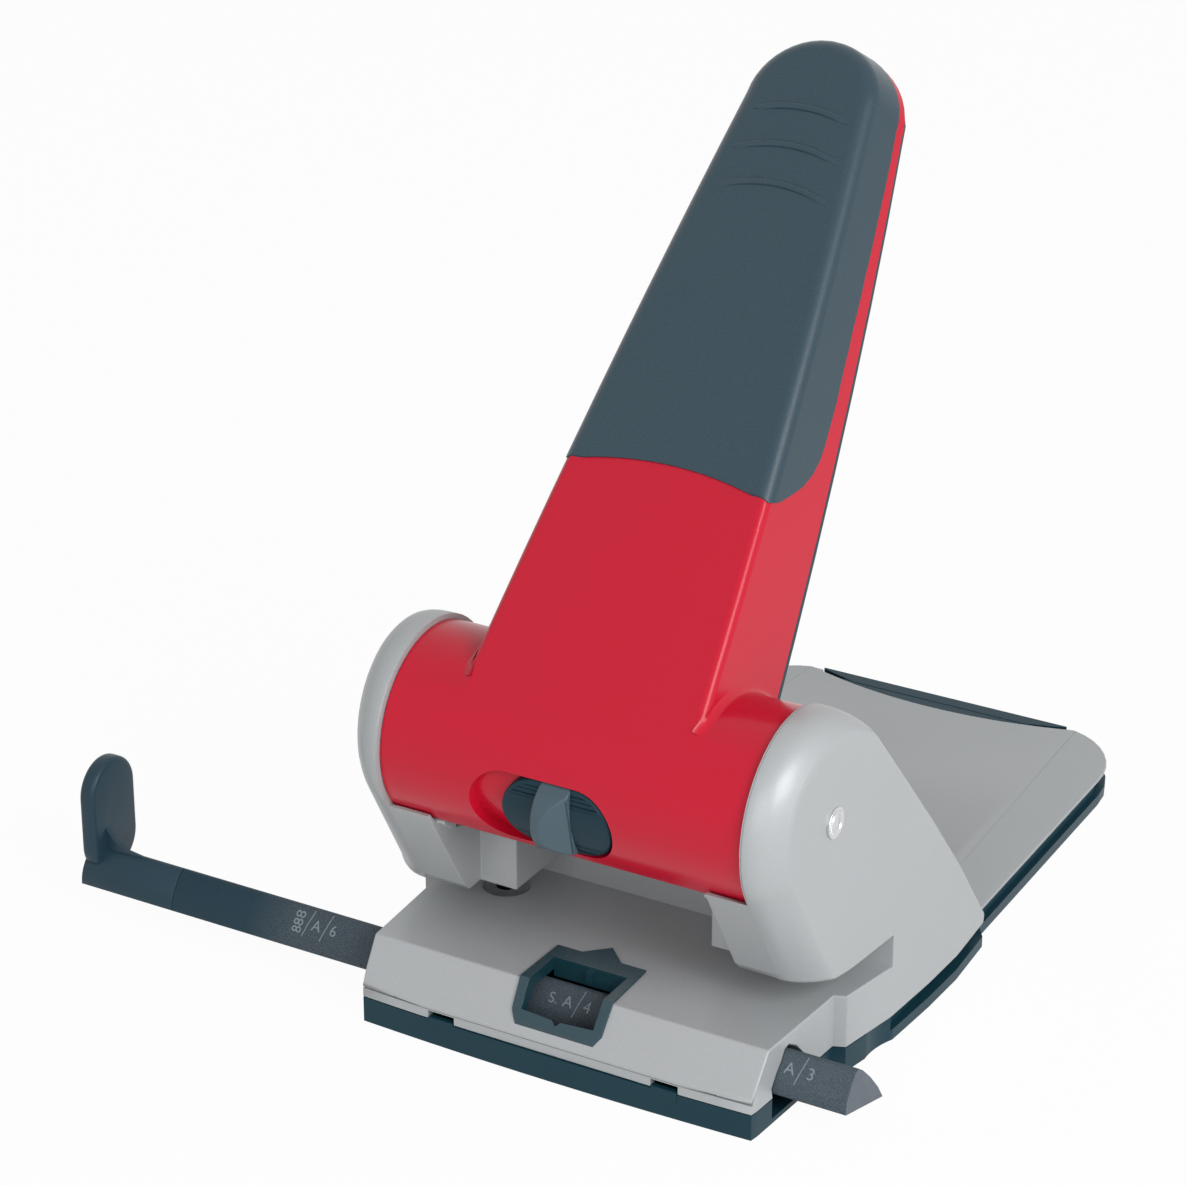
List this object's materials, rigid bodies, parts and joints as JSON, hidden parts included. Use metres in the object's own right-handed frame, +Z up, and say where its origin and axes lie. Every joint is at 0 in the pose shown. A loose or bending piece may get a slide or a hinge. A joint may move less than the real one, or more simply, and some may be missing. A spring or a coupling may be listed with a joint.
{
  "type": "desk lever hole punch",
  "caption": "Heavy desk punch with a long upright lever on a round drum between two cheeks, a paper slot, a sliding guide bar with a stop, a lock knob and a chip tray.",
  "frame": {"origin": "on the underside of the chip tray, where the punch stands on the desk, straight below the middle of the drum's axis", "axes": "+X to the punch's right, +Y to the back, +Z up; the drum's axis runs along X"},
  "size_m": [0.2255, 0.2267, 0.2274],
  "materials": {
    "cast_silver": "satin silver lacquer on die-cast metal",
    "red_paint": "gloss",
    "grip": "soft touch, fine grain",
    "dark_plastic": "smooth",
    "slate_plastic": "satin",
    "bar_plastic": "coarse grain",
    "steel": "polished",
    "bearing_brass": "machined"
  },
  "bodies": {
    "frame": {"base_casting": "cast_silver", "left_cheek": "cast_silver", "right_cheek": "cast_silver", "window_frame": "dark_plastic", "left_die": "steel", "right_die": "steel", "left_guide_bush": "bearing_brass", "right_guide_bush": "bearing_brass", "pivot_shaft": "steel"},
    "lever": {"lever_shell": "red_paint", "lever_back_cover": "dark_plastic", "grip_cover": "grip", "left_end_disc": "steel", "right_end_disc": "steel", "left_cam": "steel", "right_cam": "steel"},
    "lock": {"lock_knob": "slate_plastic", "lock_bolt": "steel"},
    "left_punch": {"left_punch_pin": "steel", "left_punch_head": "steel", "left_return_spring": "steel"},
    "right_punch": {"right_punch_pin": "steel", "right_punch_head": "steel", "right_return_spring": "steel"},
    "bar": {"guide_bar": "bar_plastic", "stop_plate": "slate_plastic"},
    "tray": {"bottom_tray": "dark_plastic"}
  },
  "joints": [
    {"name": "lever_pivot", "type": "hinge", "parent": "frame", "child": "lever", "pos_m": [0, 0, 0.075], "axis": [-1, 0, 0], "range_deg": [0, 54], "stiffness_Nm_per_rad": 0.9, "springref_deg": -40.11},
    {"name": "lock_slide", "type": "slide", "parent": "lever", "child": "lock", "axis": [-1, 0, 0], "range_m": [0, 0.008]},
    {"name": "left_punch_slide", "type": "slide", "parent": "frame", "child": "left_punch", "axis": [0, 0, -1], "range_m": [0, 0.01131], "deforming": ["left_return_spring"]},
    {"name": "right_punch_slide", "type": "slide", "parent": "frame", "child": "right_punch", "axis": [0, 0, -1], "range_m": [0, 0.01131], "deforming": ["right_return_spring"]},
    {"name": "guide_bar_slide", "type": "slide", "parent": "frame", "child": "bar", "axis": [1, 0, 0], "range_m": [-0.0615, 0.08]},
    {"name": "tray_hinge", "type": "hinge", "parent": "frame", "child": "tray", "pos_m": [0, 0.1953, 0.0053], "axis": [1, 0, 0], "range_deg": [0, 35]}
  ],
  "couplings": [
    {"joint": "left_punch_slide", "follows": "lever_pivot", "m_per_rad": 0.012},
    {"joint": "right_punch_slide", "follows": "lever_pivot", "m_per_rad": 0.012}
  ]
}
